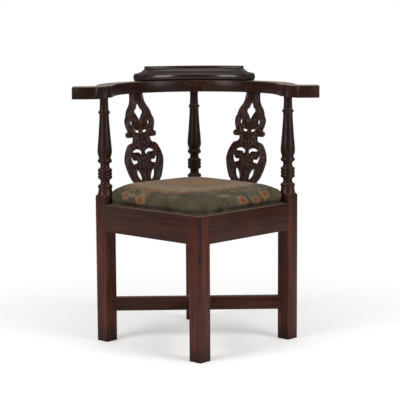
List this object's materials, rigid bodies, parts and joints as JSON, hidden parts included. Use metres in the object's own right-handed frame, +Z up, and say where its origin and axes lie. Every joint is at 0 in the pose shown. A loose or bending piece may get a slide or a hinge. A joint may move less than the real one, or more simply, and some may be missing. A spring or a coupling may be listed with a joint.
{
  "type": "corner chair",
  "caption": "Corner chair with horseshoe arms, pierced vase splats, turned columns, cross stretcher and a drop-in needlework seat.",
  "frame": {"origin": "on the floor under the middle of the chair, halfway between the front and back legs and between the side legs. The left arm reaches 8 mm further than the right", "axes": "+Z up; +Y towards the back leg; +X to the right as the chair is seen from the front"},
  "size_m": [0.7148, 0.611, 0.824],
  "materials": {
    "mahogany": "dark polished mahogany, worn on the edges",
    "beech": "plain sawn beech",
    "webbing": "jute webbing",
    "canvas": "plain hessian",
    "horsehair": "curled horsehair",
    "needlework": "wool needlework, dark ground with flowers",
    "iron": "blackened cut tacks"
  },
  "bodies": {
    "chair_frame": {"post_front": "mahogany", "post_left": "mahogany", "post_right": "mahogany", "post_back": "mahogany", "rail_front_left": "mahogany", "rail_front_right": "mahogany", "rail_back_left": "mahogany", "rail_back_right": "mahogany", "stretcher_side": "mahogany", "stretcher_long": "mahogany", "shoe_left": "mahogany", "shoe_right": "mahogany", "splat_left": "mahogany", "splat_right": "mahogany", "arm_left": "mahogany", "arm_right": "mahogany", "crest_rail": "mahogany"},
    "drop_in_seat": {"seat_frame_front_left": "beech", "seat_frame_front_right": "beech", "seat_frame_back_left": "beech", "seat_frame_back_right": "beech", "seat_webbing": "webbing", "seat_canvas": "canvas", "seat_stuffing": "horsehair", "seat_cover": "needlework", "seat_tacks": "iron"}
  },
  "joints": [
    {"name": "seat_lift", "type": "slide", "parent": "chair_frame", "child": "drop_in_seat", "axis": [0, 0, 1], "range_m": [0, 0.12]}
  ]
}
